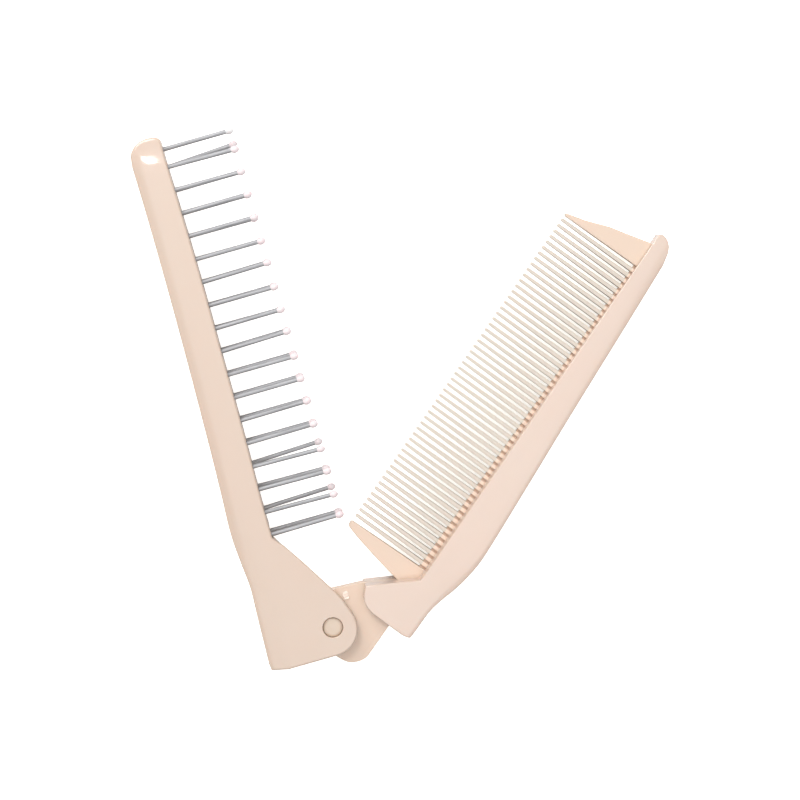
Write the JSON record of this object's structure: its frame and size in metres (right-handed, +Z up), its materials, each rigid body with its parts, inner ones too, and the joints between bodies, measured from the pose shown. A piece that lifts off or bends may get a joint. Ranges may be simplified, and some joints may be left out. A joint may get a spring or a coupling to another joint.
{
  "type": "folding comb brush",
  "caption": "Pocket comb and pin brush on two moulded plastic arms, folding together about a hinge pin, lying flat and half open.",
  "frame": {"origin": "on the hinge's axis, in the plane of the underside that it lies on", "axes": "+Z up out of the surface it lies on, along the hinge's axis; +Y along the brush arm from the hinge to its tip; +X towards the bristle tips"},
  "size_m": [0.1159, 0.1295, 0.0112],
  "materials": {
    "body_plastic": "satin pinkish beige moulded plastic",
    "plate_plastic": "satin, slightly warmer beige, thin moulded plastic",
    "pin_wire": "drawn grey steel wire with a resin ball tip"
  },
  "bodies": {
    "brush": {"brush_arm": "body_plastic", "bristle_pin_01": "pin_wire", "bristle_pin_02": "pin_wire", "bristle_pin_03": "pin_wire", "bristle_pin_04": "pin_wire", "bristle_pin_05": "pin_wire", "bristle_pin_06": "pin_wire", "bristle_pin_07": "pin_wire", "bristle_pin_08": "pin_wire", "bristle_pin_09": "pin_wire", "bristle_pin_10": "pin_wire", "bristle_pin_11": "pin_wire", "bristle_pin_12": "pin_wire", "bristle_pin_13": "pin_wire", "bristle_pin_14": "pin_wire", "bristle_pin_15": "pin_wire", "bristle_pin_16": "pin_wire", "bristle_pin_17": "pin_wire", "bristle_pin_18": "pin_wire", "bristle_pin_19": "pin_wire", "bristle_pin_20": "pin_wire", "bristle_pin_21": "pin_wire", "bristle_pin_22": "pin_wire", "bristle_pin_23": "pin_wire", "bristle_pin_24": "pin_wire", "bristle_pin_25": "pin_wire", "bristle_pin_26": "pin_wire", "bristle_pin_27": "pin_wire", "bristle_pin_28": "pin_wire", "bristle_pin_29": "pin_wire", "bristle_pin_30": "pin_wire", "bristle_pin_31": "pin_wire", "bristle_pin_32": "pin_wire", "bristle_pin_33": "pin_wire", "bristle_pin_34": "pin_wire", "bristle_pin_35": "pin_wire", "hinge_pin": "body_plastic"},
    "comb": {"comb_spine": "body_plastic", "comb_plate": "plate_plastic"}
  },
  "joints": [
    {"name": "fold", "type": "hinge", "parent": "brush", "child": "comb", "pos_m": [0, 0, 0], "axis": [0, 0, 1], "range_deg": [-129.34, 50.66]}
  ]
}
